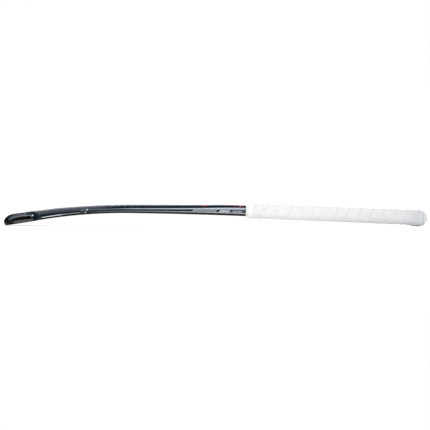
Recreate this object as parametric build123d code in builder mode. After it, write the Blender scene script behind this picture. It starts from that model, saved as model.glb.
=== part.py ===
from build123d import *
import math
import os

os.makedirs("parts", exist_ok=True)

# A composite field hockey stick lying on its playing face: handle towards +X, toe towards -Y,
# rounded back up. The origin is under the middle of the stick, on the surface it lies on.
# Millimetres and degrees. "Along" is the distance along the face from the bottom of the hook,
# "up" is the height above the face, square to it.

# The face, seen from the side: a straight head, three bow arcs and a straight handle.
FACE_START = (-462.45, -0.67)
HEAD_TILT = 9.2
HEAD_STRAIGHT = 88.0
BOW_ARCS = [(67.0, 3.6), (126.0, 6.3), (244.0, 1.44)]  # length and turn of each
HANDLE_STRAIGHT = 405.0

# The hook, seen on the face: a bar bent round an arc, with a short straight toe.
BAR_WIDTH = 46.0
BAR_THICKNESS = 22.5
BAR_THINNING = 1.6  # how much thinner the bar is at both ends of the arc
HOOK_RADIUS = 34.0
HOOK_TURN = 160.0
HOOK_STEPS = 10
TOE_STRAIGHT = 15.5
TOE_END = 21.0
TOE_END_ANGLES = [74.0, 60.0, 45.0, 25.0]
EDGE_RADIUS = 6.0

# The shaft: along, width, thickness and edge radius of its sections.
SHAFT = [
    (57.0, 46.0, 20.9, 6.0),
    (88.0, 46.0, 20.5, 6.0),
    (118.0, 45.6, 19.9, 6.0),
    (150.0, 45.0, 18.8, 6.0),
    (185.0, 44.2, 18.2, 6.0),
    (230.0, 42.8, 17.9, 6.0),
    (285.0, 40.8, 18.4, 6.2),
    (345.0, 38.0, 19.2, 6.8),
    (400.0, 34.8, 20.3, 7.6),
    (450.0, 31.2, 21.8, 9.0),
    (495.0, 28.0, 23.3, 10.4),
    (530.0, 26.3, 23.6, 11.0),
    (560.0, 26.0, 23.6, 11.0),
]
HANDLE_START = SHAFT[-1][0]
SHELL_END = 915.0

# The head is moulded a little proud, and a flat cut makes its playing face true. The moulded
# face runs out inside the cut before the cut ends.
PROUD = 0.3
FLAT_CUT_END = 88.0
RUN_OUT = 0.15

# The lay-up inside the shell.
SHELL_WALL = 1.6
TUBE_WALL = 1.1
WEB = 1.0
PLATE = 1.8
CORE_END = 118.0
CELL_START = 128.0
STRIP_END = 300.0
STRIP_SIDES = (18.2, 15.4)  # how far off the shaft's axis the strip starts, at its two ends
FOAM_START = 580.0
PLUG_START = 889.0
FLANGE_RADIUS = 11.0
FLANGE = 2.0

# The handle: its axis, the wound tape, and the knob that drops towards the face.
AXIS_UP = 11.8
GRIP_RADIUS = 16.1
GRIP_START = 533.0
TAPE = 2.1
KNOB_RADIUS = 17.85
KNOB_DROP = 1.05
KNOB_ROOT = 876.0
KNOB_WIDEST = 907.0
KNOB_STEPS = 5
SLEEVE_START = 885.0
DOME = 20.8
TAPE_END = 920.0
BAND_START = 528.0
BAND_END = 548.0
BAND = 0.6
BAND_LIP_RADIUS = 13.9

# The shaft's axis lies off the middle, so that the stick is centred from heel to toe.
SHAFT_Y = 35.5

HEEL = Vector(0, 1, 0)


def face_line():
    """The face seen from the heel side, from the bottom of the hook to past the butt."""
    with BuildLine(Plane.XZ) as line:
        last = PolarLine(FACE_START, HEAD_STRAIGHT, HEAD_TILT)
        for length, turn in BOW_ARCS:
            last = JernArc(last @ 1, last % 1, length / math.radians(turn), -turn)
        Line(last @ 1, (last @ 1) + (last % 1) * HANDLE_STRAIGHT)
    return line.wire()


FACE_LINE = face_line()
FACE_PLANE = Plane(FACE_LINE @ 0, x_dir=FACE_LINE % 0, z_dir=(FACE_LINE % 0).cross(HEEL))


def across(along, side=0.0, up=0.0, heading=0.0):
    """Plane across the stick, its Y square to the face and its normal towards the handle.

    A heading turns the normal within the face, as the bar of the hook turns.
    """
    run = FACE_LINE.tangent_at(along, PositionMode.LENGTH)
    square = run.cross(HEEL)
    origin = FACE_LINE.position_at(along, PositionMode.LENGTH) + HEEL * (SHAFT_Y + side) + square * up
    travel = run * math.cos(math.radians(heading)) + HEEL * math.sin(math.radians(heading))
    return Plane(origin, x_dir=square.cross(travel), z_dir=travel)


def across_hook(heading, beyond=0.0):
    """Plane across the bar where it has turned by heading, or beyond that point in a straight line."""
    centre_along = BAR_WIDTH / 2 + HOOK_RADIUS
    angle = math.radians(heading)
    along = centre_along - HOOK_RADIUS * math.sin(angle) - beyond * math.cos(angle)
    side = HOOK_RADIUS * (math.cos(angle) - 1) - beyond * math.sin(angle)
    return across(along, side, heading=heading)


def bar_section(plane, width, thickness, edge, inset, rise=0.0):
    """A flat face between two edge arcs, and half an ellipse for the back."""
    half = width / 2 - inset
    edge_arc = edge - inset
    bottom = inset + rise
    with BuildSketch(plane) as section:
        with BuildLine():
            Line((edge_arc - half, bottom), (half - edge_arc, bottom))
            EllipticalCenterArc((half - edge_arc, edge), edge_arc, edge - bottom, -90, arc_size=90)
            EllipticalCenterArc((0, edge), half, thickness - inset - edge, 0, arc_size=90)
            EllipticalCenterArc((0, edge), half, thickness - inset - edge, 90, arc_size=90)
            EllipticalCenterArc((edge_arc - half, edge), edge_arc, edge - bottom, 180, arc_size=90)
        make_face()
    return section.sketch


def bar_thickness(heading):
    """The bar is thickest at the bottom of the hook."""
    return BAR_THICKNESS - BAR_THINNING * math.cos(math.radians(heading)) ** 2


def moulded_rise(along):
    """Height of the moulded face above the true one: negative where it is proud."""
    part_way = (along - SHAFT[0][0]) / (FLAT_CUT_END - SHAFT[0][0])
    return (PROUD + RUN_OUT) * part_way - PROUD if part_way <= 1 else 0.0


def hook_sections(inset, moulded):
    """Sections inset from the surface of the hook, from the tip of the toe to the shaft."""
    rise = -PROUD if moulded else 0.0
    reach = TOE_END - inset
    thickness = bar_thickness(HOOK_TURN)
    sections = []
    for angle in TOE_END_ANGLES:
        plane = across_hook(HOOK_TURN, TOE_STRAIGHT + reach * math.sin(math.radians(angle)))
        shrink = math.cos(math.radians(angle))
        width = 2 * inset + (BAR_WIDTH - 2 * inset) * shrink
        height = EDGE_RADIUS + inset + (thickness - EDGE_RADIUS - inset) * shrink
        edge = inset + (EDGE_RADIUS - inset) * math.sqrt(shrink)
        sections.append(bar_section(plane, width, height, edge, inset, rise))
    for beyond in (TOE_STRAIGHT, TOE_STRAIGHT / 2):
        plane = across_hook(HOOK_TURN, beyond)
        sections.append(bar_section(plane, BAR_WIDTH, thickness, EDGE_RADIUS, inset, rise))
    for step in range(HOOK_STEPS + 1):
        heading = HOOK_TURN * (1 - step / HOOK_STEPS)
        plane = across_hook(heading)
        sections.append(bar_section(plane, BAR_WIDTH, bar_thickness(heading), EDGE_RADIUS, inset, rise))
    return sections


def shaft_sections(inset, moulded):
    """Sections inset from the surface of the shaft, from the hook to the handle."""
    sections = []
    for along, width, thickness, edge in SHAFT:
        rise = moulded_rise(along) if moulded else 0.0
        sections.append(bar_section(across(along), width, thickness, edge, inset, rise))
    return sections


def stick_form(inset, end, moulded=False):
    """The stick without its grip, inset from its surface, from the toe to end."""
    with BuildPart() as form:
        loft(sections=hook_sections(inset, moulded))
        loft(sections=shaft_sections(inset, moulded))
        extrude(bar_section(across(HANDLE_START), *SHAFT[-1][1:], inset), amount=end - HANDLE_START)
    return form.part


def halfway(side):
    """Upright plane along the shaft, facing the heel side."""
    return Plane(origin=(0, SHAFT_Y + side, 0), x_dir=(1, 0, 0), z_dir=HEEL)


def grip_form(inset):
    """The wound handle, inset from its surface: a cylinder, the swell of the knob and its dome."""
    with BuildPart() as form:
        with BuildSketch(across(GRIP_START, up=AXIS_UP)):
            Circle(GRIP_RADIUS - inset)
        extrude(amount=KNOB_ROOT - GRIP_START)
        for step in range(KNOB_STEPS + 1):
            part_way = step / KNOB_STEPS
            swell = (1 - math.cos(math.pi * part_way)) / 2
            along = KNOB_ROOT + (KNOB_WIDEST - KNOB_ROOT) * part_way
            with BuildSketch(across(along, up=AXIS_UP - KNOB_DROP * swell)):
                Circle(GRIP_RADIUS + (KNOB_RADIUS - GRIP_RADIUS) * swell - inset)
        loft()
        base = across(KNOB_WIDEST, up=AXIS_UP - KNOB_DROP)
        with BuildSketch(Plane(base.origin, x_dir=base.z_dir, z_dir=HEEL)):
            with BuildLine():
                Line((0, 0), (DOME - inset, 0))
                EllipticalCenterArc((0, 0), DOME - inset, KNOB_RADIUS - inset, 0, arc_size=90)
                Line((0, KNOB_RADIUS - inset), (0, 0))
            make_face()
        revolve(axis=Axis(base.origin, base.z_dir))
    return form.part


# The stick without its grip, with its playing face cut true.
with BuildPart() as blank:
    add(stick_form(0.0, SHELL_END, moulded=True))
    with BuildSketch(FACE_PLANE):
        Rectangle(FLAT_CUT_END, 4 * BAR_WIDTH, align=(Align.MIN, Align.CENTER))
    extrude(amount=-2 * PROUD, mode=Mode.SUBTRACT)

# The space inside the shell, and the hollows inside the tubes.
space = stick_form(SHELL_WALL, SHELL_END + FLANGE)
hollow = stick_form(SHELL_WALL + TUBE_WALL, SHELL_END)
wrap = grip_form(0.0)
under_wrap = grip_form(TAPE)

# Outer shell of carbon laminate, open at the butt.
with BuildPart() as outer_laminate:
    add(blank.part)
    add(space, mode=Mode.SUBTRACT)

# Stiff plate bonded behind the playing face.
with BuildPart() as strike_plate:
    add(space)
    split(bisect_by=across(CORE_END), keep=Keep.BOTTOM)
    split(bisect_by=FACE_PLANE.offset(SHELL_WALL + PLATE), keep=Keep.BOTTOM)

# Foamed core that fills the rest of the hook.
with BuildPart() as hook_core:
    add(space)
    split(bisect_by=across(CORE_END), keep=Keep.BOTTOM)
    split(bisect_by=FACE_PLANE.offset(SHELL_WALL + PLATE), keep=Keep.TOP)

# Wall between the two tubes of the shaft.
with BuildPart() as centre_web:
    add(space)
    split(bisect_by=across(CORE_END), keep=Keep.TOP)
    split(bisect_by=across(PLUG_START), keep=Keep.BOTTOM)
    split(bisect_by=halfway(-WEB / 2), keep=Keep.TOP)
    split(bisect_by=halfway(WEB / 2), keep=Keep.BOTTOM)


def edge_zone(margin):
    """Block on the toe side of the lower shaft that holds the impact strip."""
    start = across(CORE_END).origin.X
    end = across(STRIP_END).origin.X + margin
    corners = [
        (start, margin - STRIP_SIDES[0]),
        (end, margin - STRIP_SIDES[1]),
        (end, -BAR_WIDTH),
        (start, -BAR_WIDTH),
    ]
    with BuildPart() as zone:
        with BuildSketch(Plane(origin=(0, SHAFT_Y, 0))):
            with BuildLine():
                Polyline(corners, close=True)
            make_face()
        extrude(amount=4 * BAR_THICKNESS)
    return zone.part


# Impact strip along the toe-side edge of the lower shaft.
with BuildPart() as edge_strip:
    add(space)
    split(bisect_by=across(CORE_END), keep=Keep.TOP)
    add(edge_zone(0.0), mode=Mode.INTERSECT)

# Hollow of the toe tube, clear of the impact strip.
with BuildPart() as toe_hollow:
    add(hollow)
    split(bisect_by=across(CELL_START), keep=Keep.TOP)
    split(bisect_by=halfway(-WEB / 2 - TUBE_WALL), keep=Keep.BOTTOM)
    add(edge_zone(TUBE_WALL), mode=Mode.SUBTRACT)

# Hollow of the heel tube.
with BuildPart() as heel_hollow:
    add(hollow)
    split(bisect_by=across(CELL_START), keep=Keep.TOP)
    split(bisect_by=halfway(WEB / 2 + TUBE_WALL), keep=Keep.TOP)

# Bladder-moulded tube on the toe side.
with BuildPart() as toe_tube:
    add(space)
    split(bisect_by=across(CORE_END), keep=Keep.TOP)
    split(bisect_by=across(PLUG_START), keep=Keep.BOTTOM)
    split(bisect_by=halfway(-WEB / 2), keep=Keep.BOTTOM)
    add(toe_hollow.part, mode=Mode.SUBTRACT)
    add(edge_strip.part, mode=Mode.SUBTRACT)

# Bladder-moulded tube on the heel side.
with BuildPart() as heel_tube:
    add(space)
    split(bisect_by=across(CORE_END), keep=Keep.TOP)
    split(bisect_by=across(PLUG_START), keep=Keep.BOTTOM)
    split(bisect_by=halfway(WEB / 2), keep=Keep.TOP)
    add(heel_hollow.part, mode=Mode.SUBTRACT)

# Damping foam in the handle end of each tube.
with BuildPart() as toe_foam:
    add(toe_hollow.part)
    split(bisect_by=across(FOAM_START), keep=Keep.TOP)
    split(bisect_by=across(PLUG_START), keep=Keep.BOTTOM)

with BuildPart() as heel_foam:
    add(heel_hollow.part)
    split(bisect_by=across(FOAM_START), keep=Keep.TOP)
    split(bisect_by=across(PLUG_START), keep=Keep.BOTTOM)

# Plug that closes the butt end, with a flange that lies against the end of the shell.
with BuildPart() as butt_plug:
    add(space)
    split(bisect_by=across(PLUG_START), keep=Keep.TOP)
    split(bisect_by=across(SHELL_END), keep=Keep.BOTTOM)
    with BuildSketch(across(SHELL_END, up=AXIS_UP)):
        Circle(FLANGE_RADIUS)
    extrude(amount=FLANGE)

# Moulded rubber knob: a sleeve round the end of the handle, and a dome left bare by the tape.
with BuildPart() as butt_knob:
    add(under_wrap)
    split(bisect_by=across(SLEEVE_START), keep=Keep.TOP)
    split(bisect_by=across(TAPE_END), keep=Keep.BOTTOM)
    add(split(wrap, bisect_by=across(TAPE_END), keep=Keep.TOP, mode=Mode.PRIVATE))
    add(blank.part, mode=Mode.SUBTRACT)
    add(butt_plug.part, mode=Mode.SUBTRACT)

# Foam sleeve between the handle and the wound tape.
with BuildPart() as handle_underlay:
    add(under_wrap)
    split(bisect_by=across(SLEEVE_START), keep=Keep.BOTTOM)
    add(blank.part, mode=Mode.SUBTRACT)

# Cushion tape, wound from the band to the dome of the knob.
with BuildPart() as cushion_grip:
    add(wrap)
    split(bisect_by=across(TAPE_END), keep=Keep.BOTTOM)
    add(under_wrap, mode=Mode.SUBTRACT)

# Adhesive band that closes the lower end of the grip.
with BuildPart() as finishing_tape:
    for along, radius in (
        (BAND_START, BAND_LIP_RADIUS),
        (GRIP_START, GRIP_RADIUS + BAND),
        (BAND_END, GRIP_RADIUS + BAND),
    ):
        with BuildSketch(across(along, up=AXIS_UP)):
            Circle(radius)
    loft(ruled=True)
    add(wrap, mode=Mode.SUBTRACT)
    add(blank.part, mode=Mode.SUBTRACT)

PIECES = {
    "outer_laminate": outer_laminate,
    "strike_plate": strike_plate,
    "hook_core": hook_core,
    "centre_web": centre_web,
    "edge_strip": edge_strip,
    "toe_tube": toe_tube,
    "heel_tube": heel_tube,
    "toe_foam": toe_foam,
    "heel_foam": heel_foam,
    "butt_plug": butt_plug,
    "butt_knob": butt_knob,
    "handle_underlay": handle_underlay,
    "cushion_grip": cushion_grip,
    "finishing_tape": finishing_tape,
}
for name, piece in PIECES.items():
    piece.part.label = name
    export_step(piece.part, f"parts/{name}.step")
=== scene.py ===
import math

import bpy
import numpy as np
from mathutils import Matrix, Vector


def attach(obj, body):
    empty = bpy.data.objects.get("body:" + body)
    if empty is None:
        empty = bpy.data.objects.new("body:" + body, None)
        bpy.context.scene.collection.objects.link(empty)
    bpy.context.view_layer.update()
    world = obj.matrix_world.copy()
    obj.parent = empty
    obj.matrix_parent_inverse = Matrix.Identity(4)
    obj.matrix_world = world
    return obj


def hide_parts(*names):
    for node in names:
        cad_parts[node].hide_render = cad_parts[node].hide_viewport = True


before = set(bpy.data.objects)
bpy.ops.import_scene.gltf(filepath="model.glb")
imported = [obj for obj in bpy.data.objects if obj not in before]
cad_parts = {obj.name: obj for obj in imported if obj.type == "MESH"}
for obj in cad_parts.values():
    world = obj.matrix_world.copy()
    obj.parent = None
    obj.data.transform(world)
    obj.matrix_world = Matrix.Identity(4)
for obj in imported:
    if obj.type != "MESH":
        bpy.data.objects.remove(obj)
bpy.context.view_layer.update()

# The looks of a composite field hockey stick that lies on its playing face: handle towards +X,
# toe towards -Y. Lengths in this script are in millimetres, as on a drawing, and mesh_piece()
# turns them into metres. "Along" is the distance along the face from the bottom of the hook,
# "up" is the height above the face, square to it, and "side" is the way from toe to heel.
MM = 0.001

# The face, seen from the side, as in the CAD part.
FACE_START = (-462.45, -0.67)
HEAD_TILT = 9.2
BOW = [(88.0, 0.0), (67.0, 3.6), (126.0, 6.3), (244.0, 1.44)]  # length and turn of each stretch
SHAFT_Y = 35.5

# The hook: a bar bent round an arc, with a short straight toe and a rounded end.
BAR_WIDTH = 46.0
BAR_THICKNESS = 22.6
BAR_THINNING = 0.7
HOOK_RADIUS = 34.0
HOOK_TURN = 160.0
TOE_STRAIGHT = 15.5
TOE_END = 21.0
TOE_END_ANGLES = (88, 84, 79, 74, 68, 62, 55, 48, 41, 34, 27, 20, 13, 6)  # of its sections, from the tip
TOE_EDGE_SHARE = 0.45  # the edge radius is at most this share of the toe's width
EDGE_RADIUS = 6.0
TOE_STEPS = 6
HOOK_STEP = 2.5  # degrees between the sections of the bend

# The shaft: along, width, thickness and edge radius of its sections.
SHAFT = [
    (57.0, 46.0, 21.9, 6.0),
    (88.0, 46.0, 20.6, 6.0),
    (118.0, 45.6, 19.9, 6.0),
    (150.0, 45.0, 18.8, 6.0),
    (185.0, 44.2, 18.2, 6.0),
    (230.0, 42.8, 17.9, 6.0),
    (285.0, 40.8, 18.4, 6.2),
    (345.0, 38.0, 19.2, 6.8),
    (400.0, 34.8, 20.3, 7.6),
    (450.0, 31.2, 21.8, 9.0),
    (495.0, 28.0, 23.3, 10.4),
    (530.0, 26.3, 23.6, 11.0),
    (560.0, 26.0, 23.6, 11.0),
]
SHAFT_STEP = 3.0
HANDLE_STEPS = 20
SHELL_END = 914.0

# The handle: its axis, the wrapped radius, and the knob that drops towards the face.
AXIS_UP = 11.8
GRIP_RADIUS = 16.1
GRIP_START = 533.0
GRIP_END = 919.6
KNOB_RADIUS = 17.85
KNOB_DROP = 1.05
KNOB_ROOT = 876.0
KNOB_WIDEST = 907.0
SLEEVE_START = 885.2
DOME = 20.8
TAPE_ROOM = 2.1

# The wound tape: where its butt-side edge first shows on the toe side, how far it moves on with
# each turn, and its section.
FIRST_EDGE = 548.6
PITCH = 25.4
TAPE_WIDTH = 28.7
TAPE_THICK = 1.75
TAPE_CROWN = 0.2
TAPE_LIP = 0.45
SKIVE = 4.0
TAPE_ROUNDING = (0.8, 0.35)  # width and depth of the rounding along its edges
TAPE_CLIMB = (-1.0, 0.4)  # where a turn climbs on to the edge of the one below
NARROWEST_TAPE = 0.4  # where the ends of the winding are trimmed

# The band that closes the lower end of the grip.
BAND_START = 530.4
BAND_CONE_START = 531.0
BAND_CONE = 5.5
BAND_END = 548.0
BAND_THICK = 0.45
BAND_GAP = 0.12  # between the band and what it lies on
BAND_ROUNDING = 0.4
BAND_FIRST_ANGLE = 200.0  # degrees, as are the lap and the step
BAND_LAP = 48.0
BAND_LAP_CLIMB = (350, 364)
BAND_STEP = 2.4

# The knob: its step at the end of the tape, as places past that end and depths there, and the ring
# and gate mark moulded in its dome, as radius, half width and depth.
KNOB_STEP = [(0.05, 2.0), (0.15, 0.9), (0.3, 0.35)]
KNOB_RING = (8.6, 0.55, 0.32)
KNOB_GATE = (0.0, 1.6, 0.4)
SLEEVE_STEPS = 26
DOME_STEPS = 40
KNOB_SIDES = 96


# ---------------------------------------------------------------- shape of the stick


def face_line(along):
    """Point (x, z) of the face and its slope in radians, seen from the heel side."""
    x, z = FACE_START
    slope = math.radians(HEAD_TILT)
    left = along
    for length, turn in BOW:
        part = min(left, length)
        bend = math.radians(turn) * part / length
        x += part * math.cos(slope - bend / 2)
        z += part * math.sin(slope - bend / 2)
        slope -= bend
        left -= part
    return x + left * math.cos(slope), z + left * math.sin(slope), slope


def across(along, side=0.0, heading=0.0):
    """Origin, sideways and upward directions of the plane across the stick, as numpy vectors."""
    x, z, slope = face_line(along)
    run = np.array((math.cos(slope), 0.0, math.sin(slope)))
    heel = np.array((0.0, 1.0, 0.0))
    square = np.cross(run, heel)
    travel = run * math.cos(heading) + heel * math.sin(heading)
    return np.array((x, SHAFT_Y + side, z)), np.cross(square, travel), square


def through_rows(rows, place):
    """Values between the rows of a table, on cubic curves through them."""
    table = np.array(rows)
    places, values = table[:, 0], table[:, 1:]
    slopes = np.gradient(values, places, axis=0)
    row = min(int(np.searchsorted(places, place, side="right")) - 1, len(places) - 2)
    span = places[row + 1] - places[row]
    t = (place - places[row]) / span
    start, end = 2 * t**3 - 3 * t**2 + 1, 3 * t**2 - 2 * t**3
    leave, arrive = (t**3 - 2 * t**2 + t) * span, (t**3 - t**2) * span
    return start * values[row] + end * values[row + 1] + leave * slopes[row] + arrive * slopes[row + 1]


def smooth(value, low, high):
    """0 below low, 1 above high, and a smooth step between them."""
    t = np.clip((value - low) / (high - low), 0.0, 1.0)
    return t * t * (3 - 2 * t)


FACE_STEPS = 14
EDGE_STEPS = 9
BACK_STEPS = 48


def bar_outline(width, thickness, edge, rise=0.0, widest=None):
    """Section of the bar, (side, up) points from the middle of the face round the heel side.

    The bar is widest at the height of its edge radius, unless another height is given.
    """
    half = width / 2
    widest = edge if widest is None else widest
    flat = np.linspace(0.0, half - edge, FACE_STEPS // 2, endpoint=False)
    turn = np.linspace(-math.pi / 2, 0.0, EDGE_STEPS, endpoint=False)
    back = np.linspace(0.0, math.pi, BACK_STEPS + 1)
    face = np.column_stack((flat, np.full(len(flat), rise)))
    arc = np.column_stack((half - edge + edge * np.cos(turn), widest + (widest - rise) * np.sin(turn)))
    top = np.column_stack((half * np.cos(back), widest + (thickness - widest) * np.sin(back)))
    mirror = (-1.0, 1.0)
    return np.vstack((face, arc, top, arc[::-1] * mirror, face[:0:-1] * mirror))


def bar_thickness(heading):
    """The bar is thickest at the bottom of the hook."""
    return BAR_THICKNESS - BAR_THINNING * math.cos(heading) ** 2


def hook_place(heading, beyond):
    """Along and side of the bar's middle where it has turned by heading, or beyond that point."""
    along = BAR_WIDTH / 2 + HOOK_RADIUS - HOOK_RADIUS * math.sin(heading) - beyond * math.cos(heading)
    side = HOOK_RADIUS * (math.cos(heading) - 1) - beyond * math.sin(heading)
    return along, side


def toe_stations():
    """Sections of the rounded end of the toe and of its straight, from the tip on."""
    heading = math.radians(HOOK_TURN)
    thickness = bar_thickness(heading)
    for angle in np.radians(TOE_END_ANGLES):
        shrink = math.cos(angle)
        from_tip = TOE_END * (1 - math.sin(angle))
        inward = max(0.0, EDGE_RADIUS - from_tip)
        rise = EDGE_RADIUS - math.sqrt(EDGE_RADIUS**2 - inward**2)
        height = EDGE_RADIUS + (thickness - EDGE_RADIUS) * shrink
        width = BAR_WIDTH * shrink
        edge = min(EDGE_RADIUS * math.sqrt(shrink), TOE_EDGE_SHARE * width)
        outline = bar_outline(width, height, edge, rise, EDGE_RADIUS)
        yield *hook_place(heading, TOE_STRAIGHT + TOE_END * math.sin(angle)), heading, outline
    for beyond in np.linspace(TOE_STRAIGHT, 0.0, TOE_STEPS, endpoint=False):
        yield *hook_place(heading, beyond), heading, bar_outline(BAR_WIDTH, thickness, EDGE_RADIUS)


def hook_stations():
    """Sections of the bend of the hook."""
    for heading in np.radians(np.arange(HOOK_TURN, 0.0, -HOOK_STEP)):
        outline = bar_outline(BAR_WIDTH, bar_thickness(heading), EDGE_RADIUS)
        yield *hook_place(heading, 0.0), heading, outline


def shaft_stations():
    """Sections of the shaft and of the handle under the grip."""
    for along in np.arange(SHAFT[0][0], SHAFT[-1][0], SHAFT_STEP):
        yield along, 0.0, 0.0, bar_outline(*through_rows(SHAFT, along))
    for along in np.linspace(SHAFT[-1][0], SHELL_END, HANDLE_STEPS):
        yield along, 0.0, 0.0, bar_outline(*SHAFT[-1][1:])


# ---------------------------------------------------------------- meshes


def mesh_piece(name, points, faces, values=None):
    """A smooth mesh object from points in millimetres, with one named value per point for each key."""
    mesh = bpy.data.meshes.new(name)
    mesh.from_pydata((np.array(points) * MM).tolist(), [], faces)
    for key, column in (values or {}).items():
        attribute = mesh.attributes.new(key, "FLOAT", "POINT")
        attribute.data.foreach_set("value", np.array(column, np.float32))
    mesh.polygons.foreach_set("use_smooth", [True] * len(mesh.polygons))
    mesh.validate()
    piece = bpy.data.objects.new(name, mesh)
    bpy.context.scene.collection.objects.link(piece)
    return piece


def ring_faces(rings, size):
    """Quads between rings of points, each ring closed on itself."""
    faces = []
    for ring in range(rings - 1):
        for i in range(size):
            j = (i + 1) % size
            start, end = ring * size, (ring + 1) * size
            faces.append((start + i, start + j, end + j, end + i))
    return faces


def capped(rings, size):
    """Faces of a closed body of rings, whose two last points are the middles of its ends."""
    faces = ring_faces(rings, size)
    first, last = rings * size, rings * size + 1
    for i in range(size):
        j = (i + 1) % size
        faces.append((first, j, i))
        faces.append((last, (rings - 1) * size + i, (rings - 1) * size + j))
    return faces


def ringed_piece(name, points, size, values):
    """A closed body from rings of points, with a middle point added to close each end."""
    rings = len(points) // size
    ends = (slice(0, size), slice(-size, None))
    middles = [np.mean(points[end], axis=0) for end in ends]
    values = {key: column + [np.mean(column[end]) for end in ends] for key, column in values.items()}
    return mesh_piece(name, points + middles, capped(rings, size), values)


def signed_way_round(outline):
    """Distance round the section from its crest, positive on the heel side."""
    steps = np.linalg.norm(np.diff(outline, axis=0, append=outline[:1]), axis=1)
    way = np.concatenate(([0.0], np.cumsum(steps)[:-1]))
    return way[int(np.argmax(outline[:, 1]))] - way


def painted_skin():
    """Outer surface of the stick, from the tip of the toe to the end under the knob."""
    points = []
    values = {"along": [], "side": [], "up": [], "way_round": [], "travel": []}
    middle_before = None
    travel = 0.0
    for along, side, heading, outline in (*toe_stations(), *hook_stations(), *shaft_stations()):
        origin, sideways, square = across(along, side, heading)
        if middle_before is not None:
            travel += float(np.linalg.norm(origin - middle_before))
        middle_before = origin
        points.extend(origin + s * sideways + u * square for s, u in outline)
        values["along"].extend(along - outline[:, 0] * math.sin(heading))
        values["side"].extend(side + outline[:, 0] * math.cos(heading))
        values["up"].extend(outline[:, 1])
        values["way_round"].extend(signed_way_round(outline))
        values["travel"].extend([travel] * len(outline))
    return ringed_piece("painted_stick", points, len(outline), values)


# ---------------------------------------------------------------- handle


def knob_swell(along):
    """How far the knob has swelled there: half a cosine wave from 0 at its root to 1."""
    part_way = min(max((along - KNOB_ROOT) / (KNOB_WIDEST - KNOB_ROOT), 0.0), 1.0)
    return (1 - math.cos(math.pi * part_way)) / 2


def grip_radius(along):
    """Radius over the wound tape: a cylinder, the swell of the knob and its dome."""
    if along <= KNOB_WIDEST:
        return GRIP_RADIUS + (KNOB_RADIUS - GRIP_RADIUS) * knob_swell(along)
    part_way = min((along - KNOB_WIDEST) / DOME, 1.0)
    return KNOB_RADIUS * math.sqrt(1 - part_way**2)


def handle_point(along, angle, radius):
    """Point at a radius from the handle's axis; angle 0 is under it and 90 degrees the toe side."""
    origin, heel, square = across(along)
    axis = origin + square * (AXIS_UP - KNOB_DROP * knob_swell(along))
    return axis - radius * (heel * math.sin(angle) + square * math.cos(angle))


def wrapped_point(along, angle, depth):
    """Point at a depth under the surface of the wrapped handle, measured square to it."""
    step = 0.05
    radius = grip_radius(along)
    lean = math.atan2(radius - grip_radius(along - step), step)
    return handle_point(along + depth * math.sin(lean), angle, radius - depth * math.cos(lean))


def tape_edge(turn):
    """Along of the butt-side edge of the tape, a little uneven as it is wound by hand."""
    drift = 0.35 * math.sin(2.3 * turn)
    wobble = 0.2 * math.sin(5.1 * turn + 1.0)
    return FIRST_EDGE + PITCH * turn + drift + wobble


def tape_thickness(place):
    """Thickness of the tape at a place across it: skived at both edges and crowned between them."""
    skive_start = -0.6 * SKIVE
    head = smooth(place, skive_start, SKIVE)
    butt = smooth(TAPE_WIDTH - place, skive_start, SKIVE)
    crown = TAPE_CROWN * math.sin(math.pi * min(max(place / TAPE_WIDTH, 0.0), 1.0))
    return TAPE_LIP + (TAPE_THICK - TAPE_LIP) * min(head, butt) + crown


def tape_bed(turn, place):
    """How far the tape is lifted there by the turn that it laps over."""
    lapped = place - (tape_edge(turn + 1) - tape_edge(turn))
    return tape_thickness(max(lapped, 0.0)) * float(smooth(lapped, *TAPE_CLIMB))


def rounded_edge(near, width):
    """0 at width from an edge or further, rising to 1 at the edge on a quarter circle."""
    return 1 - math.sqrt(1 - (1 - min(near, width) / width) ** 2)


TURN_STEPS = 60
TAPE_STEPS = 26


def cushion_tape():
    """The tape wound from the butt towards the head, each turn lapping over the one before."""
    points = []
    values = {"place": [], "wound": [], "along": []}
    first = (GRIP_START - FIRST_EDGE) / PITCH
    last = (GRIP_END + TAPE_WIDTH - FIRST_EDGE) / PITCH
    for turn in np.arange(first + 0.05, last, 1 / TURN_STEPS):
        edge = tape_edge(turn)
        low = max(edge - TAPE_WIDTH, GRIP_START)
        high = min(edge, GRIP_END)
        if high - low < NARROWEST_TAPE:
            continue
        angle = math.pi / 2 + 2 * math.pi * turn
        spread = (1 - np.cos(np.linspace(0, math.pi, TAPE_STEPS))) / 2
        top = low + (high - low) * spread
        for along, upper in [(a, True) for a in top] + [(a, False) for a in top[::-1]]:
            place = along - edge + TAPE_WIDTH
            lift = tape_bed(turn, place)
            if upper:
                round_width, round_depth = TAPE_ROUNDING
                near = min(along - low, high - along)
                lift += tape_thickness(place) - round_depth * rounded_edge(near, round_width)
            points.append(wrapped_point(along, angle, TAPE_ROOM - lift))
            values["place"].append(place)
            values["wound"].append(turn * 2 * math.pi * GRIP_RADIUS)
            values["along"].append(along)
    return ringed_piece("wound_cushion_tape", points, 2 * TAPE_STEPS, values)


def shaft_reach(angle):
    """Distance from the handle's axis to the surface of the shaft at the start of the band."""
    outline = bar_outline(*through_rows(SHAFT, BAND_START)) - (0.0, AXIS_UP)
    ways = np.arctan2(-outline[:, 0], -outline[:, 1])
    order = np.argsort(ways)
    wrapped = (angle + math.pi) % (2 * math.pi) - math.pi
    reach = np.hypot(outline[:, 0], outline[:, 1])
    return float(np.interp(wrapped, ways[order], reach[order], period=2 * math.pi))


BAND_STEPS = 22


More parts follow.
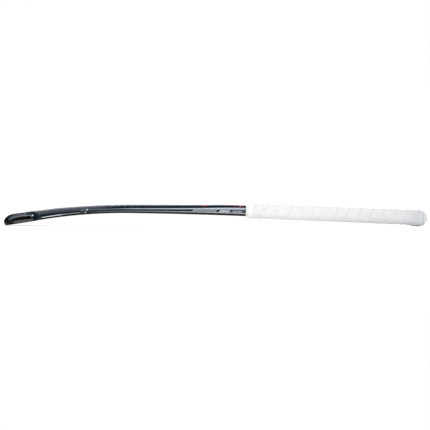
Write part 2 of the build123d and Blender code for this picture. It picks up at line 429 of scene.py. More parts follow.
def finishing_band():
    """Adhesive band wound once and a bit over the end of the tape and down on to the shaft."""
    points = []
    values = {"along": [], "wound": []}
    for wound in np.arange(0.0, 360.0 + BAND_LAP - BAND_STEP / 2, BAND_STEP):
        angle = math.radians(BAND_FIRST_ANGLE + wound)
        lap = float(smooth(wound, *BAND_LAP_CLIMB)) * BAND_THICK
        wave = 0.22 * math.sin(3 * angle + 0.8) + 0.12 * math.sin(7 * angle)
        edge = BAND_END + wave
        close = shaft_reach(angle) + BAND_GAP
        wide = GRIP_RADIUS + BAND_GAP
        top = np.linspace(BAND_START - 0.15, edge, BAND_STEPS)
        for along, upper in [(a, True) for a in top] + [(a, False) for a in top[::-1]]:
            cone = float(smooth(along, BAND_CONE_START, BAND_CONE_START + BAND_CONE))
            crease = 0.10 * math.sin(17 * angle + along) * cone * (1 - cone) * 4
            radius = close + (wide - close) * cone + crease + lap
            if upper:
                near = min(along - top[0], edge - along)
                from_edge = min(near, BAND_ROUNDING) / BAND_ROUNDING
                radius += BAND_THICK * math.sqrt(1 - 0.8 * (1 - from_edge) ** 2)
            points.append(handle_point(along, angle, radius))
            values["along"].append(along)
            values["wound"].append(wound)
    return ringed_piece("finishing_band", points, 2 * BAND_STEPS, values)


def knob_profile():
    """Along and depth under the wrapped surface, from the sleeve's open end over the dome."""
    for along in np.linspace(SLEEVE_START, GRIP_END - 0.5, SLEEVE_STEPS):
        yield along, TAPE_ROOM
    for past, depth in KNOB_STEP:
        yield GRIP_END + past, depth
    dome_start = math.asin((GRIP_END + 0.6 - KNOB_WIDEST) / DOME)
    for angle in np.linspace(dome_start, math.pi / 2, DOME_STEPS):
        along = KNOB_WIDEST + DOME * math.sin(angle)
        radius = KNOB_RADIUS * math.cos(angle)
        marks = [d * math.exp(-(((radius - r) / half) ** 2)) for r, half, d in (KNOB_RING, KNOB_GATE)]
        yield along, sum(marks)


def butt_knob():
    """Moulded rubber knob: a sleeve under the tape and a dome that it leaves bare."""
    points = []
    values = {"along": [], "wound": []}
    for along, depth in knob_profile():
        for i in range(KNOB_SIDES):
            angle = 2 * math.pi * i / KNOB_SIDES
            points.append(wrapped_point(min(along, KNOB_WIDEST + DOME - 0.02), angle, depth))
            values["along"].append(along)
            values["wound"].append(math.degrees(angle))
    return ringed_piece("rubber_butt_knob", points, KNOB_SIDES, values)


# ---------------------------------------------------------------- materials


class Nodes:
    """Short ways to build a node tree. Inputs are numbers, colours or sockets."""

    def __init__(self, tree):
        self.tree = tree

    def node(self, kind, **settings):
        made = self.tree.nodes.new("ShaderNode" + kind)
        for key, value in settings.items():
            setattr(made, key, value)
        return made

    def feed(self, socket, value):
        if isinstance(value, bpy.types.NodeSocket):
            self.tree.links.new(value, socket)
        elif isinstance(value, tuple):
            socket.default_value = (*value, 1.0)[: len(socket.default_value)]
        else:
            socket.default_value = value

    def math(self, operation, a, b=0.0):
        made = self.node("Math", operation=operation)
        self.feed(made.inputs[0], a)
        self.feed(made.inputs[1], b)
        return made.outputs[0]

    def value(self, name):
        """A named value of the mesh."""
        return self.node("Attribute", attribute_name=name).outputs["Fac"]

    def over(self, value, low, high):
        """0 below low, 1 above high, and a smooth step between them."""
        made = self.node("MapRange", interpolation_type="SMOOTHSTEP")
        self.feed(made.inputs["Value"], value)
        self.feed(made.inputs["From Min"], low)
        self.feed(made.inputs["From Max"], high)
        return made.outputs[0]

    def between(self, value, low, high, soft=0.3):
        """1 between low and high, fading out over soft at both."""
        rise = self.over(value, low - soft, low + soft)
        fall = self.over(value, high - soft, high + soft)
        return self.math("SUBTRACT", rise, fall)

    def window(self, value, rise, fall):
        """Rises from 0 to 1 over the first pair of values, and falls back over the second."""
        return self.product(self.over(value, *rise), self.over(value, *fall[::-1]))

    def within(self, distance, limit, soft=0.3):
        """1 where a distance is under its limit, fading out over soft on both sides of it."""
        return self.over(distance, limit + soft, limit - soft)

    def scaled(self, value, low, high):
        """A value from 0 to 1 spread from low to high."""
        made = self.node("MapRange")
        self.feed(made.inputs["Value"], value)
        made.inputs["To Min"].default_value = low
        made.inputs["To Max"].default_value = high
        return made.outputs[0]

    def mix(self, share, a, b):
        """A colour between a and b."""
        made = self.node("Mix", data_type="RGBA")
        self.feed(made.inputs["Factor"], share)
        self.feed(made.inputs[6], a)
        self.feed(made.inputs[7], b)
        return made.outputs[2]

    def blend(self, share, a, b):
        """A value between a and b."""
        made = self.node("Mix", data_type="FLOAT")
        self.feed(made.inputs["Factor"], share)
        self.feed(made.inputs[2], a)
        self.feed(made.inputs[3], b)
        return made.outputs[0]

    def place(self, *values):
        """A vector of three values."""
        made = self.node("CombineXYZ")
        for socket, value in zip(made.inputs, values):
            self.feed(socket, value)
        return made.outputs[0]

    def object_millimetres(self):
        """The place on the piece in millimetres, as a vector."""
        made = self.node("VectorMath", operation="SCALE")
        self.feed(made.inputs[0], self.node("TexCoord").outputs["Object"])
        made.inputs["Scale"].default_value = 1 / MM
        return made.outputs[0]

    def parts(self, vector):
        """The three values of a vector."""
        made = self.node("SeparateXYZ")
        self.feed(made.inputs[0], vector)
        return made.outputs[0], made.outputs[1], made.outputs[2]

    def noise(self, vector, size, detail=3.0, roughness=0.5):
        """Noise from 0 to 1 whose patches are about size across."""
        made = self.node("TexNoise")
        self.feed(made.inputs["Vector"], vector)
        made.inputs["Scale"].default_value = 1 / size
        made.inputs["Detail"].default_value = detail
        made.inputs["Roughness"].default_value = roughness
        return made.outputs[0]

    def cells(self, vector, size):
        """Distance from the middle of the nearest of many cells about size across."""
        made = self.node("TexVoronoi")
        self.feed(made.inputs["Vector"], vector)
        made.inputs["Scale"].default_value = 1 / size
        return made.outputs["Distance"]

    def product(self, *masks):
        """1 where every mask is 1."""
        result = masks[0]
        for mask in masks[1:]:
            result = self.math("MULTIPLY", result, mask)
        return result

    def union(self, *masks):
        """1 where any mask is 1."""
        result = masks[0]
        for mask in masks[1:]:
            result = self.math("MAXIMUM", result, mask)
        return result

    def bump(self, height, depth, strength=1.0):
        """A normal from a height of 0 to 1 that stands for depth in millimetres."""
        made = self.node("Bump")
        self.feed(made.inputs["Height"], height)
        made.inputs["Distance"].default_value = depth * MM
        made.inputs["Strength"].default_value = strength
        return made.outputs[0]


class Paint(Nodes):
    """A material, its nodes and its shader."""

    def __init__(self, name):
        self.material = bpy.data.materials.new(name)
        self.material.use_nodes = True
        super().__init__(self.material.node_tree)
        self.shader = self.tree.nodes["Principled BSDF"]

    def set(self, **inputs):
        """Sets the shader's sockets, whose names are written with _ for a space."""
        for key, value in inputs.items():
            name = key.replace("_", " ").title().replace("Ior", "IOR")
            self.feed(self.shader.inputs[name], value)

    def twill(self, u, v, tow):
        """Twill cloth of flat tows: 1 where a warp tow is on top and 0 for a weft tow, and its height."""
        u_tow = self.math("DIVIDE", u, tow)
        v_tow = self.math("DIVIDE", v, tow)
        column = self.math("FLOOR", u_tow)
        row = self.math("FLOOR", v_tow)
        place = self.math("FLOORED_MODULO", self.math("ADD", column, row), 4.0)
        warp = self.math("LESS_THAN", place, 1.5)
        u_off = self.math("ABSOLUTE", self.math("SUBTRACT", self.math("FRACT", u_tow), 0.5))
        v_off = self.math("ABSOLUTE", self.math("SUBTRACT", self.math("FRACT", v_tow), 0.5))
        off = self.math("MULTIPLY", self.blend(warp, v_off, u_off), 2.0)
        return warp, self.math("SUBTRACT", 1.0, self.math("POWER", off, 3.0))


BRAID_TOW = 2.1
FACE_TOW = 2.4


def laminate_cloth(paint):
    """Braided carbon round the shaft and flat cloth on the face: warp share and height."""
    up, travel = paint.value("up"), paint.value("travel")
    way_round = paint.value("way_round")
    slant = paint.math("MULTIPLY", paint.math("ADD", way_round, travel), math.sqrt(0.5))
    counter = paint.math("MULTIPLY", paint.math("SUBTRACT", way_round, travel), math.sqrt(0.5))
    braid = paint.twill(slant, counter, BRAID_TOW)
    flat = paint.twill(paint.value("side"), paint.value("along"), FACE_TOW)
    on_face = paint.over(up, 0.9, 0.1)
    return [paint.blend(on_face, *pair) for pair in zip(braid, flat)]


BARE_BLACK = (0.06, 0.06, 0.063)
BARE_WEFT = (0.09, 0.09, 0.094)
# Painted sheen low on the edge of the bare head.
LOW_EDGE_SHEEN = (0.14, 0.133, 0.138)
# Painted shade at the hook's tip, and the black of the patch behind the border.
TIP_SHADE_AND_PATCH_BLACK = (0.006, 0.006, 0.006)
NAVY = (0.0025, 0.005, 0.0095)
NAVY_WEFT = (0.005, 0.0095, 0.018)
NAVY_CLOUD = (0.008, 0.014, 0.022)
SILVER = (0.55, 0.6, 0.66)
PALE = (0.78, 0.82, 0.86)
# Grey of the low stripe, which is partly a painted reflection of the floor.
STRIPE_GREY_AND_REFLECTION = (0.44, 0.43, 0.445)
RED = (0.62, 0.05, 0.07)
PINSTRIPE_GREY = (0.22, 0.25, 0.3)
SCUFF_GREY = (0.09, 0.09, 0.095)

# Where the bare head gets a painted sheen low on its edge, painted shade at its tip and a black
# patch, and where the lacquer is thick: each pair is a fade, from 0 at the first value to 1 at the second.
SHEEN_UP = (7, 3)
SHEEN_ALONG = (14, 24)
TIP_SHADE_UP = (13, 8)
TIP_SHADE_ALONG = (27, 15)
PATCH_UP = (5.0, 6.5)
PATCH_ALONG = (49.5, 52)
LACQUER_UP = (2.0, 4.5)
LACQUER_ALONG = (54, 68)
LACQUER_SIDE = (-48, -32)

# The border of the bare head and the plain markings: places along and up, and half widths. A lean
# is how far a line moves along for each millimetre up or round the back. A rise or a taper is how
# far one climbs or narrows for each millimetre along.
HEAD_BORDER = 48.6  # where the bare head ends on the back
HEAD_BORDER_LOW = 62.0  # and on the sides below the shoulder
SHOULDER_UP = 13.6
PINSTRIPE_WIDTH = 1.5
# A painted glint, drawn as a pale dot.
GLINT_ALONG = 64.7
GLINT_UP = 13.0
GLINT_RADIUS = 1.4
STRIPE_START = (185, 215)
STRIPE_UP = (4.3, 6.0)
STRIPE_CLIMB = (240, 500)
STRIPE_BRIGHTENS = (220, 510)
STRIPE_HALF = 1.0
FLASH = (84, 168)
FLASH_UP = 4.05
FLASH_RISE = 0.0075
FLASH_FADE = (122, 134)
FLASH_HALF = 0.8
BARS = (405.0, 513.0)
BARS_UP = (7.5, 11.6)
BARS_LEAN = 0.9
BAR_PITCH = 5.2
BAR_GAPS = ((458, 464), (486, 492))
BLOCK = (464, 486)
RULE_START = 440
RULE_UP = (12.9, 14.1)
RULE_CLIMB = (440, 520)
RULE_HALF = 0.6
SLASH = (175.1, 177.1)
SLASH_UP = (3.0, 12.0)
SLASH_BREAK = (5.2, 9.0)
SLASH_LEAN = 0.75
STROKE_START = 162.0
STROKE_PITCH = 2.6
STROKE_WIDTH = 0.5
STROKES_UP = (7.0, 12.0)
STROKES = 5
RED_DASH = (435, 446)
RED_DASH_HALF = 8.1
RED_LINE_START = 478
RED_LINE_HALF = 4.7
LOZENGE_ALONG = 518.0
LOZENGE_HALF = 11.2
LOZENGE_TAPER = 1.5
CHEVRON_START = 250.0
CHEVRON_PITCH = 15
CHEVRON_WIDTH = 4.0
CHEVRON_HALF = 13.7
CHEVRON_LEAN = 1.2
CHEVRONS = 4


def painted_zone(paint, along, up, shift=0.0):
    """1 where the stick is painted: behind the bare head, whose border steps back at the shoulder."""
    back = paint.over(along, HEAD_BORDER + shift - 0.25, HEAD_BORDER + shift + 0.25)
    low = paint.over(along, HEAD_BORDER_LOW + shift - 0.25, HEAD_BORDER_LOW + shift + 0.25)
    high = paint.over(up, SHOULDER_UP + shift - 0.25, SHOULDER_UP + shift + 0.25)
    return paint.math("MAXIMUM", low, paint.math("MULTIPLY", back, high))


def painted_glint_dot(paint, along, up):
    """A painted glint: a pale dot on the sides, just behind the border of the bare head."""
    off_along = paint.math("POWER", paint.math("SUBTRACT", along, GLINT_ALONG), 2.0)
    off_up = paint.math("POWER", paint.math("SUBTRACT", up, GLINT_UP), 2.0)
    return paint.within(paint.math("SQRT", paint.math("ADD", off_along, off_up)), GLINT_RADIUS)


def slanted(paint, along, up, lean):
    """Along of the foot of a line that leans towards the handle."""
    return paint.math("SUBTRACT", along, paint.math("MULTIPLY", up, lean))


def band_along(paint, up, centre, half):
    """1 within half of a centre line that runs along the side."""
    off = paint.math("ABSOLUTE", paint.math("SUBTRACT", up, centre))
    return paint.within(off, half, 0.2)


def low_stripe_and_reflection(paint, along, up):
    """Grey stripe low on the sides that brightens towards the handle, partly paint and partly a painted
    reflection of the floor.
    """
    centre = paint.scaled(paint.over(along, *STRIPE_CLIMB), *STRIPE_UP)
    brightness = paint.scaled(paint.over(along, *STRIPE_BRIGHTENS), 0.17, 1.0)
    stripe = band_along(paint, up, centre, STRIPE_HALF)
    return paint.product(stripe, paint.over(along, *STRIPE_START), brightness)


def flash_stripe(paint, along, up):
    """Pale stripe low on the sides behind the head, bright at first and then faint."""
    centre = paint.math("ADD", FLASH_UP, paint.math("MULTIPLY", along, FLASH_RISE))
    fading = paint.scaled(paint.over(along, *FLASH_FADE), 1.0, 0.28)
    stripe = band_along(paint, up, centre, FLASH_HALF)
    return paint.product(stripe, paint.between(along, *FLASH, 1.0), fading)


def speed_bars(paint, along, up):
    """A row of plain slanted bars, broken by two gaps and one solid block, under a thin rule."""
    foot = slanted(paint, along, up, BARS_LEAN)
    step = paint.math("FRACT", paint.math("DIVIDE", foot, BAR_PITCH))
    bars = paint.product(paint.between(step, 0.16, 0.84, 0.06), paint.between(foot, *BARS, 0.5), 0.66)
    gaps = paint.union(*[paint.between(foot, *gap, 0.4) for gap in BAR_GAPS])
    bars = paint.product(bars, paint.math("SUBTRACT", 1.0, gaps))
    block = paint.product(paint.between(foot, *BLOCK, 0.4), 0.8)
    row = paint.product(paint.union(bars, block), paint.between(up, *BARS_UP, 0.25))
    rule_up = paint.scaled(paint.over(along, *RULE_CLIMB), *RULE_UP)
    rule = band_along(paint, up, rule_up, RULE_HALF)
    rule = paint.product(rule, paint.between(along, RULE_START, BAND_START, 2.0), 0.85)
    return paint.union(row, rule)


def side_slash(paint, along, up):
    """A bright slash with a fading run of fine strokes behind it."""
    foot = slanted(paint, along, up, SLASH_LEAN)
    slash = paint.product(paint.between(foot, *SLASH), paint.between(up, *SLASH_UP, 0.4))
    broken = paint.math("MULTIPLY", paint.between(up, *SLASH_BREAK, 0.8), 0.8)
    slash = paint.product(slash, paint.math("SUBTRACT", 1.0, broken), 0.85)
    starts = [STROKE_START + STROKE_PITCH * i for i in range(STROKES)]
    strokes = paint.union(*[paint.between(foot, start, start + STROKE_WIDTH, 0.25) for start in starts])
    return paint.union(slash, paint.product(strokes, paint.between(up, *STROKES_UP, 0.4), 0.3))


def back_accents(paint, along, way_round):
    """Red marks along the crest of the back."""
    off = paint.math("ABSOLUTE", way_round)
    dash = paint.product(paint.between(along, *RED_DASH, 0.4), paint.within(off, RED_DASH_HALF))
    line = paint.between(along, RED_LINE_START, BAND_START, 0.4)
    line = paint.product(line, paint.within(off, RED_LINE_HALF))
    from_middle = paint.math("ABSOLUTE", paint.math("SUBTRACT", along, LOZENGE_ALONG))
    from_middle = paint.math("MULTIPLY", from_middle, LOZENGE_TAPER)
    lozenge = paint.within(paint.math("ADD", off, from_middle), LOZENGE_HALF)
    return paint.union(dash, line, lozenge)


def chevrons(paint, along, way_round):
    """Nested chevrons on the back of the lower shaft, each thinner than the one before."""
    off = paint.math("ABSOLUTE", way_round)
    foot = paint.math("ADD", along, paint.math("MULTIPLY", off, CHEVRON_LEAN))
    marks = []
    for i in range(CHEVRONS):
        start = CHEVRON_START + CHEVRON_PITCH * i
        marks.append(paint.between(foot, start, start + CHEVRON_WIDTH - i, 0.35))
    return paint.product(paint.union(*marks), paint.within(off, CHEVRON_HALF))


def gloss_laminate():
    """Navy paint and bare black carbon under clear lacquer, with plain generic markings."""
    paint = Paint("painted_laminate")
    along, up, way_round = paint.value("along"), paint.value("up"), paint.value("way_round")
    warp, height = laminate_cloth(paint)
    where = paint.place(along, way_round, up)
    cloud = paint.noise(where, 26.0, 4.0)

    bare = paint.mix(warp, BARE_BLACK, BARE_WEFT)
    navy = paint.mix(warp, NAVY, NAVY_WEFT)
    navy = paint.mix(paint.over(cloud, 0.42, 0.68), navy, NAVY_CLOUD)
    zone = painted_zone(paint, along, up)
    # Painted sheen: the bare head is paler low along its edge.
    low_sheen = paint.product(paint.over(up, *SHEEN_UP), paint.over(along, *SHEEN_ALONG), 0.8)
    bare = paint.mix(low_sheen, bare, LOW_EDGE_SHEEN)
    # Painted shade: the bottom of the hook's tip is darker, where the stick meets the floor.
    tip = paint.product(paint.over(up, *TIP_SHADE_UP), paint.over(along, *TIP_SHADE_ALONG), 0.9)
    bare = paint.mix(tip, bare, TIP_SHADE_AND_PATCH_BLACK)
    patch = paint.product(paint.over(up, *PATCH_UP), paint.over(along, *PATCH_ALONG), 0.85)
    bare = paint.mix(patch, bare, TIP_SHADE_AND_PATCH_BLACK)
    colour = paint.mix(zone, bare, navy)

    inner = painted_zone(paint, along, up, PINSTRIPE_WIDTH)
    pinstripe = paint.math("SUBTRACT", zone, inner)
    faint_below = paint.scaled(paint.over(up, 9, 14), 0.25, 0.8)
    colour = paint.mix(paint.math("MULTIPLY", pinstripe, faint_below), colour, PINSTRIPE_GREY)

    # Painted glint.
    colour = paint.mix(painted_glint_dot(paint, along, up), colour, PALE)
    # Low stripe, partly a painted reflection of the floor.
    colour = paint.mix(low_stripe_and_reflection(paint, along, up), colour, STRIPE_GREY_AND_REFLECTION)
    colour = paint.mix(flash_stripe(paint, along, up), colour, PALE)
    colour = paint.mix(side_slash(paint, along, up), colour, PALE)
    colour = paint.mix(speed_bars(paint, along, up), colour, SILVER)
    colour = paint.mix(paint.math("MULTIPLY", chevrons(paint, along, way_round), 0.55), colour, SILVER)
    colour = paint.mix(back_accents(paint, along, way_round), colour, RED)

    scuffs = paint.noise(paint.place(paint.math("MULTIPLY", along, 0.25), way_round, up), 2.4, 5.0, 0.6)
    worn = paint.product(paint.over(scuffs, 0.6, 0.72), paint.over(along, 90, 20))
    colour = paint.mix(paint.math("MULTIPLY", worn, 0.3), colour, SCUFF_GREY)

    rough = paint.math("ADD", paint.scaled(cloud, 0.13, 0.22), paint.math("MULTIPLY", worn, 0.25))
    rough = paint.math("ADD", rough, paint.math("MULTIPLY", zone, 0.24))
    paint.set(base_color=colour, roughness=rough)
    off_toe = paint.over(paint.value("side"), *LACQUER_SIDE)
    lacquered = paint.product(zone, paint.over(along, *LACQUER_ALONG), off_toe)
    lacquered = paint.product(lacquered, paint.over(up, *LACQUER_UP))
    paint.set(metallic=paint.math("SUBTRACT", 1.0, zone), specular_ior_level=0.06)
    paint.set(specular_tint=(0.5, 0.5, 0.5))
    paint.set(coat_weight=paint.scaled(lacquered, 0.08, 1.0), coat_roughness=0.035)
    paint.set(normal=paint.bump(height, 0.06, 0.6))
    ripple = paint.noise(where, 9.0, 2.0)
    paint.set(coat_normal=paint.bump(ripple, 0.03, 0.35))
    return paint.material


TAPE_WHITES = ((0.80, 0.80, 0.80), (0.84, 0.84, 0.835))
# Painted shade towards the butt and over the knob.
TAPE_BUTT_SHADE = (0.66, 0.675, 0.70)
TAPE_KNOB_SHADE = (0.53, 0.54, 0.56)
# Dirt and painted shade along the tape's edges.
TAPE_SEAM_DIRT_AND_SHADE = (0.55, 0.555, 0.56)
VENT_GREY = (0.4, 0.4, 0.4)
VENT_PITCH = 3.4


def cushion_leather():
    """Soft white synthetic tape with a fine grain, rows of vents, edges slightly grubby and darkened by
    painted shade, and painted shade towards the butt.
    """
    paint = Paint("cushion_tape")
    place, wound, along = paint.value("place"), paint.value("wound"), paint.value("along")
    row = paint.math("DIVIDE", place, VENT_PITCH)
    across_row = paint.math("SUBTRACT", paint.math("FRACT", row), 0.5)
    stagger = paint.math("MULTIPLY", paint.math("FLOOR", row), 0.5)
    down_row = paint.math("ADD", paint.math("DIVIDE", wound, VENT_PITCH), stagger)
    down_row = paint.math("SUBTRACT", paint.math("FRACT", down_row), 0.5)
    squares = paint.math("ADD", paint.math("POWER", across_row, 2.0), paint.math("POWER", down_row, 2.0))
    from_vent = paint.math("MULTIPLY", paint.math("SQRT", squares), VENT_PITCH)
    vent = paint.product(paint.over(from_vent, 0.55, 0.3), paint.between(place, 5.5, 23.5, 0.6))

    grain_place = paint.place(place, wound, 0.0)
    grain = paint.cells(grain_place, 0.9)
    cloud = paint.noise(grain_place, 14.0, 4.0)
    colour = paint.mix(paint.over(cloud, 0.3, 0.7), *TAPE_WHITES)
    # Painted shade: the tape greys towards the butt and over the knob, where less light falls.
    colour = paint.mix(paint.product(paint.over(along, 600, 960), 0.9), colour, TAPE_BUTT_SHADE)
    colour = paint.mix(paint.product(paint.over(along, KNOB_ROOT, 902), 0.5), colour, TAPE_KNOB_SHADE)
    # Dirt and painted shade along the edges of each turn, beside the laps.
    edge = paint.union(paint.over(place, 5.2, 3.0), paint.over(place, TAPE_WIDTH - 0.9, TAPE_WIDTH))
    colour = paint.mix(paint.math("MULTIPLY", edge, 0.35), colour, TAPE_SEAM_DIRT_AND_SHADE)
    colour = paint.mix(paint.math("MULTIPLY", vent, 0.5), colour, VENT_GREY)
    paint.set(base_color=colour, roughness=paint.scaled(cloud, 0.52, 0.66), sheen_weight=0.15)
    height = paint.math("SUBTRACT", paint.math("MULTIPLY", grain, 0.35), vent)
    paint.set(normal=paint.bump(height, 0.16, 0.7))
    return paint.material


BAND_WHITES = ((0.84, 0.84, 0.84), (0.89, 0.89, 0.89))
BAND_END_GREY = (0.62, 0.62, 0.63)


def band_vinyl():
    """Smooth white adhesive tape with a faint stretch grain round the handle."""
    paint = Paint("band_vinyl")
    along, wound = paint.value("along"), paint.value("wound")
    stretch = paint.noise(paint.place(along, paint.math("MULTIPLY", wound, 0.02), 0.0), 1.3, 3.0)
    cloud = paint.noise(paint.place(along, paint.math("MULTIPLY", wound, 0.2), 0.0), 8.0, 3.0)
    colour = paint.mix(cloud, *BAND_WHITES)
    # Greyer at both ends.
    butt_end = paint.over(along, BAND_END - 0.8, BAND_END)
    head_end = paint.over(along, BAND_START + 3, BAND_START)
    colour = paint.mix(paint.product(paint.union(butt_end, head_end), 0.4), colour, BAND_END_GREY)
    paint.set(base_color=colour, roughness=paint.scaled(stretch, 0.3, 0.42))
    paint.set(normal=paint.bump(stretch, 0.05, 0.5))
    return paint.material


KNOB_GREYS = ((0.60, 0.61, 0.64), (0.68, 0.69, 0.72))
KNOB_DIRT = (0.32, 0.32, 0.33)


def knob_rubber():
    """Pale matt rubber with a fine moulded texture and a little dirt where the tape ends."""
    paint = Paint("knob_rubber")
    where = paint.object_millimetres()
    grain = paint.noise(where, 0.7, 4.0, 0.6)
    cloud = paint.noise(where, 11.0, 3.0)
    colour = paint.mix(cloud, *KNOB_GREYS)
    seam = paint.between(paint.value("along"), GRIP_END - 0.6, GRIP_END + 0.5, 0.3)
    colour = paint.mix(paint.math("MULTIPLY", seam, 0.6), colour, KNOB_DIRT)
    paint.set(base_color=colour, roughness=paint.scaled(grain, 0.6, 0.78))
    paint.set(normal=paint.bump(grain, 0.12, 0.6))
    return paint.material


PLATE_CLOTH = ((0.02, 0.02, 0.022), (0.045, 0.045, 0.05))
TUBE_CLOTH = ((0.025, 0.025, 0.028), (0.06, 0.06, 0.065))
RESIN = (0.05, 0.045, 0.035)


def raw_laminate(name, colours, tow, roughness):
    """Cured carbon cloth as it comes off the tool, set by its place on the stick."""
    paint = Paint(name)
    where = paint.object_millimetres()
    x, y, z = paint.parts(where)
    counter = paint.math("SUBTRACT", x, paint.math("ADD", y, z))
    warp, height = paint.twill(paint.math("ADD", x, y), counter, tow)
    resin = paint.noise(where, 6.0, 3.0)
    colour = paint.mix(warp, *colours)
    colour = paint.mix(paint.over(resin, 0.55, 0.75), colour, RESIN)
    paint.set(base_color=colour, roughness=paint.math("ADD", paint.math("MULTIPLY", resin, 0.2), roughness))
    paint.set(coat_weight=0.3, coat_roughness=0.25, normal=paint.bump(height, 0.15, 0.8))
    return paint.material


ARAMID_WARP = (0.68, 0.5, 0.13)
ARAMID_WEFT = (0.52, 0.36, 0.08)
ARAMID_SHADE = (0.4, 0.27, 0.05)


def aramid_cloth():
    """Golden aramid cloth set in resin."""
    paint = Paint("aramid_cloth")
    where = paint.object_millimetres()
    x, y, z = paint.parts(where)
    warp, height = paint.twill(x, paint.math("ADD", y, z), 1.4)
    fibre = paint.noise(where, 0.5, 4.0)
    colour = paint.mix(warp, ARAMID_WEFT, ARAMID_WARP)
    colour = paint.mix(paint.math("MULTIPLY", fibre, 0.4), colour, ARAMID_SHADE)
    paint.set(base_color=colour, roughness=paint.scaled(fibre, 0.45, 0.65))
    paint.set(normal=paint.bump(height, 0.2, 0.8))
    return paint.material


CORE_FOAM = ((0.62, 0.52, 0.34), (0.72, 0.62, 0.43))
DAMPING_FOAM = ((0.78, 0.75, 0.68), (0.85, 0.82, 0.76))
UNDERLAY_FOAM = ((0.5, 0.5, 0.49), (0.6, 0.6, 0.59))


def cell_foam(name, colours, size, roughness):
    """Closed-cell foam cut to shape, with painted shade in the hollows in the middle of its cells."""
    paint = Paint(name)
    where = paint.object_millimetres()
    cell = paint.cells(where, size)
    cloud = paint.noise(where, 9.0, 3.0)
    colour = paint.mix(cloud, *colours)
    # Painted shade in the hollows of the cells.
    cell_hollow_shade = tuple(0.6 * c for c in colours[0])
    colour = paint.mix(paint.math("MULTIPLY", paint.over(cell, 0.5, 0.15), 0.35), colour, cell_hollow_shade)
    paint.set(base_color=colour, roughness=paint.scaled(cloud, roughness - 0.08, roughness + 0.05))
    paint.set(normal=paint.bump(cell, 0.4 * size, 0.7))
    return paint.material


PLASTIC_BLACKS = ((0.015, 0.015, 0.016), (0.03, 0.03, 0.032))


def moulded_plastic():
    """Black moulded plastic with a fine spark-eroded texture."""
    paint = Paint("moulded_plastic")
    where = paint.object_millimetres()
    grain = paint.noise(where, 0.6, 3.0)
    cloud = paint.noise(where, 7.0, 2.0)
    colour = paint.mix(cloud, *PLASTIC_BLACKS)
    paint.set(base_color=colour, roughness=paint.scaled(grain, 0.42, 0.6))
    paint.set(normal=paint.bump(grain, 0.08, 0.6))
    return paint.material


# ---------------------------------------------------------------- pieces in the frame


def stand_for(piece, node, material):
    """Puts a new piece in the frame in place of a CAD node."""
    piece.data.materials.append(material)
    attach(piece, "root")
    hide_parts(node)
    return piece


def dress(node, material):
    """Gives a CAD node that keeps its shape its material."""
    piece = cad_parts[node]
    if piece.material_slots:
        for held in piece.material_slots:
            held.material = material
    else:
        piece.data.materials.append(material)
    return piece


stand_for(painted_skin(), "outer_laminate", gloss_laminate())
tape = stand_for(cushion_tape(), "cushion_grip", cushion_leather())
stand_for(finishing_band(), "finishing_tape", band_vinyl())
stand_for(butt_knob(), "butt_knob", knob_rubber())

dress("strike_plate", raw_laminate("plate_laminate", PLATE_CLOTH, tow=2.5, roughness=0.35))
tube_material = raw_laminate("tube_laminate", TUBE_CLOTH, tow=1.8, roughness=0.45)
for tube in ("toe_tube", "heel_tube", "centre_web"):
    dress(tube, tube_material)
dress("edge_strip", aramid_cloth())
dress("hook_core", cell_foam("core_foam", CORE_FOAM, size=0.8, roughness=0.85))
foam_material = cell_foam("damping_foam", DAMPING_FOAM, size=1.6, roughness=0.88)
for foam in ("toe_foam", "heel_foam"):
    dress(foam, foam_material)
underlay = dress("handle_underlay", cell_foam("underlay_foam", UNDERLAY_FOAM, size=0.7, roughness=0.8))
dress("butt_plug", moulded_plastic())


# ---------------------------------------------------------------- floor, light and camera

FLOOR_WHITE = 0.95
FLOOR_HALF = 60.0  # metres

# The softboxes, by direction: an angle in degrees, from 0 at the front over the top to 180 at the
# back, and x, from -1 at the hook's end to 1 at the butt's. Each pair is where an edge fades.
STRIP_ANGLE = ((36, 48), (60, 77))
STRIP_X = ((-0.05, -0.02), (0.08, 0.1))
STRIP_BRIGHTER_X = (-0.005, 0.075)
STRIP_STRENGTH = (4.0, 19.0)
OVERHEAD_LOW_ANGLE = (40, 56)
OVERHEAD_HIGH_ANGLE = (110, 160)
OVERHEAD_LEAN = 80.0  # degrees that its low edge rises by towards the hook, per unit of x
OVERHEAD_X = (-0.045, -0.01)
OVERHEAD_BRIGHTER_X = (-0.12, -0.3)
OVERHEAD_STRENGTH = (1.1, 2.2)
REAR_ANGLE = ((134, 144), (156, 166))
REAR_X = (-0.3, -0.1)
GLOSS_FLOOR = 0.03  # what gloss sees between the softboxes
SOFT_LIGHT = (1.06, 1.36)  # from the back and from the front, for all that isn't gloss
SOFTBOX_TINT = (0.86, 0.95, 1.08)


def studio_floor():
    """A large plain white floor."""
    half = FLOOR_HALF
    mesh = bpy.data.meshes.new("studio_floor")
    corners = [(-half, -half, 0), (half, -half, 0), (half, half, 0), (-half, half, 0)]
    mesh.from_pydata(corners, [], [(0, 1, 2, 3)])
    floor = bpy.data.objects.new("studio_floor", mesh)
    bpy.context.scene.collection.objects.link(floor)
    paint = Paint("studio_floor")
    paint.set(base_color=(FLOOR_WHITE,) * 3, roughness=0.9, specular_ior_level=0.0)
    mesh.materials.append(paint.material)


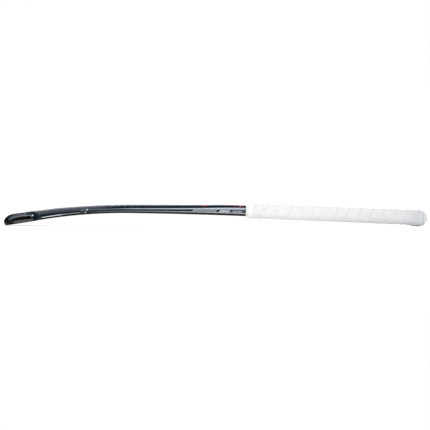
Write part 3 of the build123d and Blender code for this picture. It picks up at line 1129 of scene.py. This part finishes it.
def studio_light():
    """A white sweep with even light from all round, and softboxes that show in gloss."""
    world = bpy.data.worlds.new("studio")
    bpy.context.scene.world = world
    world.use_nodes = True
    sky = Nodes(world.node_tree)
    background = sky.tree.nodes["Background"]
    x, y, z = sky.parts(sky.node("TexCoord").outputs["Generated"])
    front = sky.math("MULTIPLY", y, -1.0)
    angle = sky.math("MULTIPLY", sky.math("ARCTAN2", z, front), 180 / math.pi)
    soft = sky.scaled(sky.over(front, 0.0, 1.0), *SOFT_LIGHT)

    strip = sky.product(sky.window(angle, *STRIP_ANGLE), sky.window(x, *STRIP_X))
    strip = sky.product(strip, sky.scaled(sky.over(x, *STRIP_BRIGHTER_X), *STRIP_STRENGTH))
    beyond = sky.math("MINIMUM", sky.math("ADD", x, 0.03), 0.0)
    leaning = sky.math("ADD", angle, sky.math("MULTIPLY", beyond, OVERHEAD_LEAN))
    overhead = sky.product(sky.over(leaning, *OVERHEAD_LOW_ANGLE), sky.over(x, *OVERHEAD_X[::-1]))
    overhead = sky.product(overhead, sky.over(angle, *OVERHEAD_HIGH_ANGLE[::-1]))
    overhead = sky.product(overhead, sky.scaled(sky.over(x, *OVERHEAD_BRIGHTER_X), *OVERHEAD_STRENGTH))
    rear = sky.product(sky.window(angle, *REAR_ANGLE), sky.over(x, *REAR_X))
    strength = sky.math("ADD", sky.math("ADD", strip, overhead), rear)

    paths = sky.node("LightPath").outputs
    light = sky.blend(paths["Is Glossy Ray"], soft, sky.math("ADD", strength, GLOSS_FLOOR))
    seen = sky.blend(paths["Is Camera Ray"], light, 1.0)
    tint = sky.math("MULTIPLY", paths["Is Glossy Ray"], sky.math("MINIMUM", strength, 1.0))
    sky.feed(background.inputs["Color"], sky.mix(tint, (1.0, 1.0, 1.0), SOFTBOX_TINT))
    sky.feed(background.inputs["Strength"], seen)


# The camera: the width and centre of its view and its distance in metres, and its angles in degrees.
VIEW_WIDTH = 0.9415
VIEW_CENTRE = (-0.0013, 0.0, 0.0239)
VIEW_ELEVATION = 0.3
VIEW_ROLL = 0.14
VIEW_DISTANCE = 36.0


def studio_camera():
    """A level long-lens view of the toe side."""
    data = bpy.data.cameras.new("camera")
    data.type = "ORTHO"
    data.ortho_scale = VIEW_WIDTH
    data.clip_start = 1.0
    data.clip_end = 200.0
    camera = bpy.data.objects.new("camera", data)
    bpy.context.scene.collection.objects.link(camera)
    elevation = math.radians(VIEW_ELEVATION)
    back = Vector((0.0, -math.cos(elevation), math.sin(elevation)))
    aim = (-back).to_track_quat("-Z", "Y").to_matrix()
    camera.location = Vector(VIEW_CENTRE) + back * VIEW_DISTANCE
    camera.rotation_euler = (aim @ Matrix.Rotation(math.radians(VIEW_ROLL), 3, "Z")).to_euler()
    bpy.context.scene.camera = camera


studio_floor()
studio_light()
studio_camera()
bpy.context.scene.view_settings.view_transform = "Standard"
